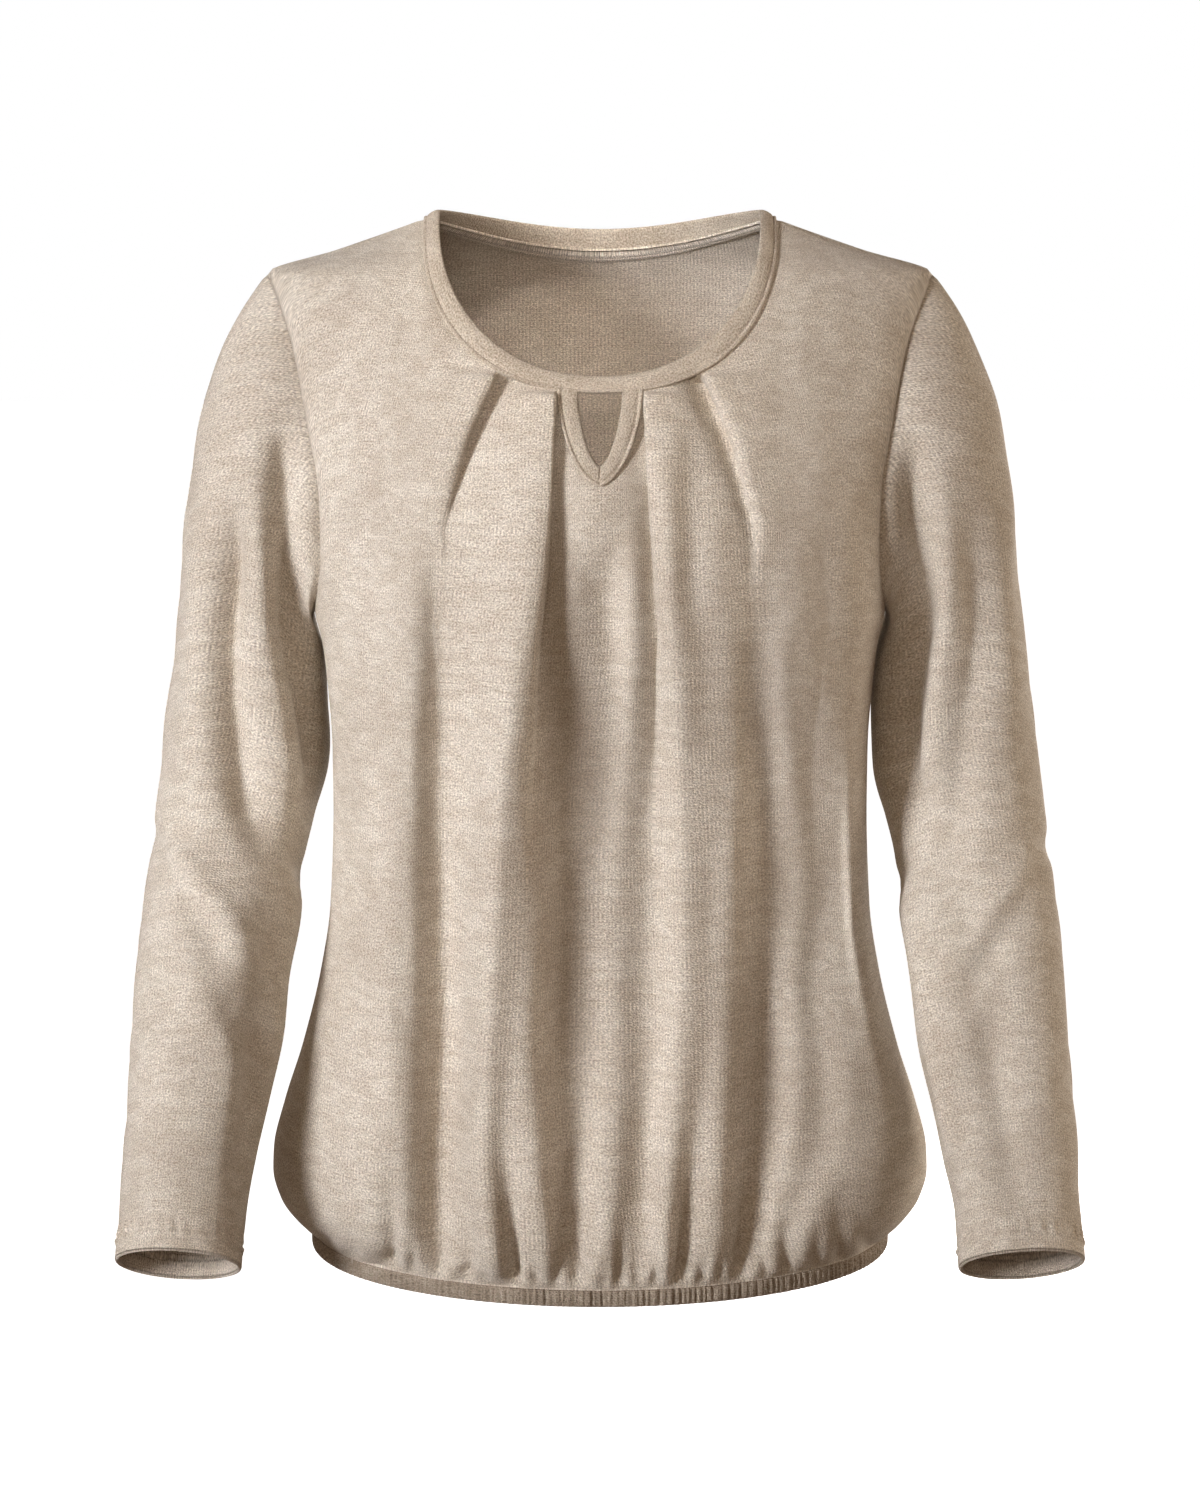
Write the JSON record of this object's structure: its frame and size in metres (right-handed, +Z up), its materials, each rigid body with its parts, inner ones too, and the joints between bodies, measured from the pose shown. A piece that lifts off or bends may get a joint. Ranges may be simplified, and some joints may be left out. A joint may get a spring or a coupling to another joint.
{
  "type": "blouson top",
  "caption": "Long-sleeved knit top in worn form, empty, with a round neck, a keyhole, front pleats and a gathered elastic hem.",
  "frame": {"origin": "midway between the two points where the shoulder seams meet the neck seam, where the wearer's shoulders hold it up", "axes": "+Z up, the front faces -Y, +X is the wearer's left"},
  "size_m": [0.5654, 0.2654, 0.6335],
  "materials": {
    "body_knit": "fine brushed marled knit, oatmeal, soft nap",
    "band_knit": "the same knit, folded double and stitched",
    "casing_knit": "the same knit, gathered over elastic"
  },
  "bodies": {
    "root": {"front": "body_knit", "back": "body_knit", "sleeve_left": "body_knit", "sleeve_right": "body_knit", "neck_band": "band_knit", "keyhole_binding": "band_knit", "hem_casing": "casing_knit"}
  },
  "joints": []
}
